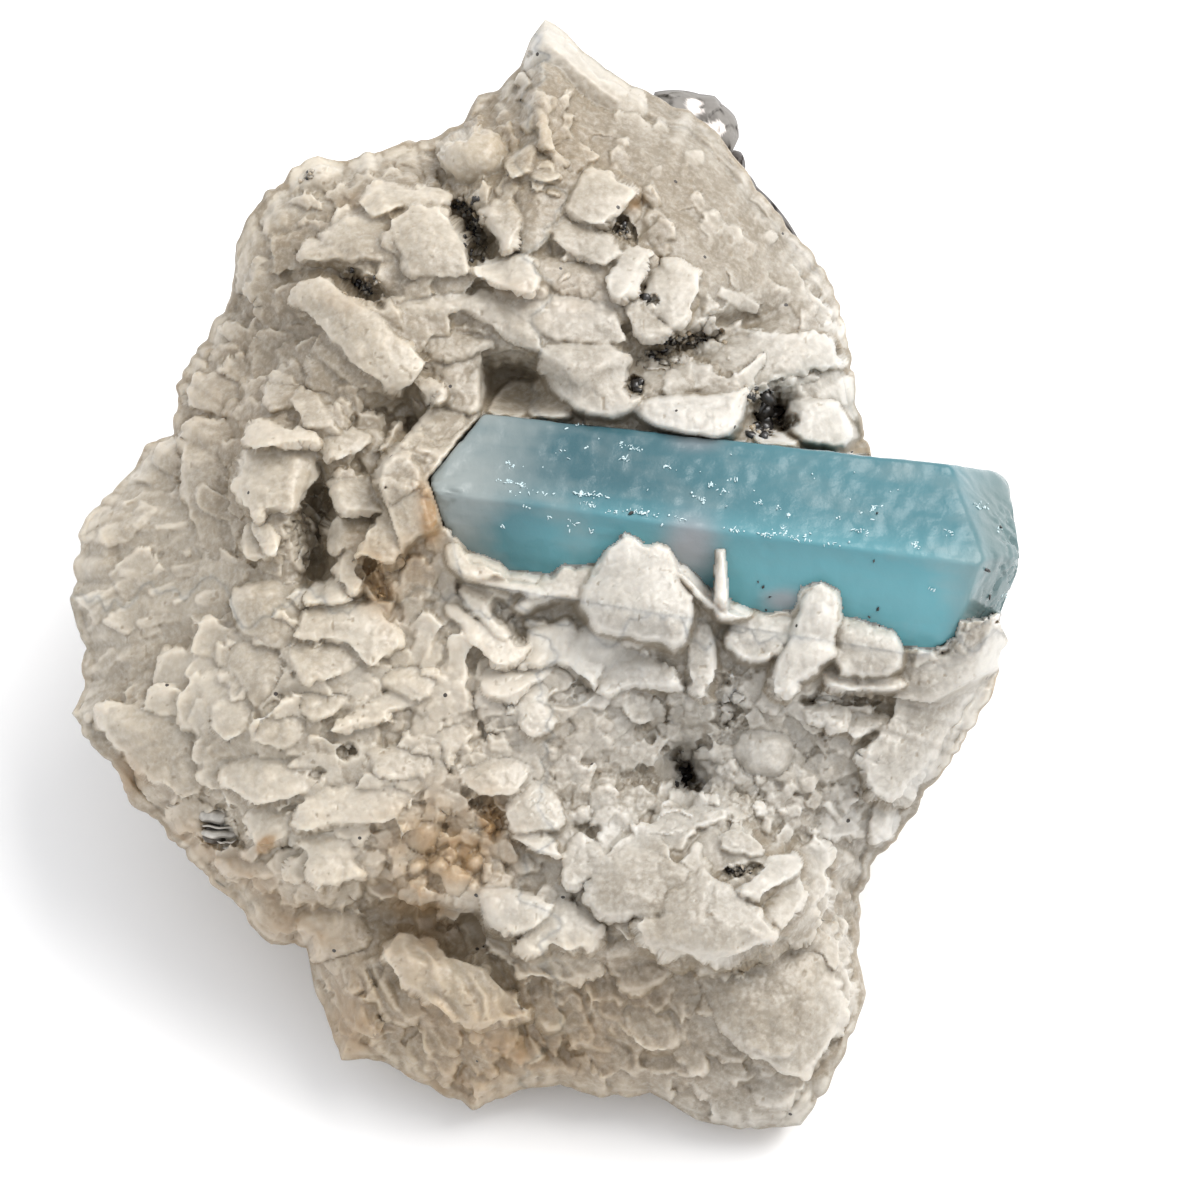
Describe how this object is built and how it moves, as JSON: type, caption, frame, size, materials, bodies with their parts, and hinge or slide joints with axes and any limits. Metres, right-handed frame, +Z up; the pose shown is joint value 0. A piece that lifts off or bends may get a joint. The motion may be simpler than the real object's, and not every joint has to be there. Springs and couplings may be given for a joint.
{
  "type": "mineral specimen",
  "caption": "Six-sided blue-green prism lying across a rough white lump of blocky crystals, with grey quartz at one edge, small dark grains and a leaf book.",
  "frame": {"origin": "centre of the specimen's bounding box in plan, on the plane it rests on", "axes": "+Z up, +X along the aquamarine towards its broken free end, -Y towards the side that the display face leans back from"},
  "size_m": [0.0652, 0.0707, 0.0444],
  "materials": {
    "albite": "waxy, rough",
    "aquamarine": "glassy, lightly etched",
    "smoky_quartz": "glassy",
    "mica": "pearly",
    "schorl": "glossy"
  },
  "bodies": {
    "root": {"albite_matrix": "albite", "aquamarine_crystal": "aquamarine", "smoky_quartz": "smoky_quartz", "mica_book": "mica", "schorl_right_pit": "schorl", "schorl_middle_pit": "schorl", "schorl_groove": "schorl", "schorl_upper_cleft": "schorl", "schorl_left_cleft": "schorl"}
  },
  "joints": []
}
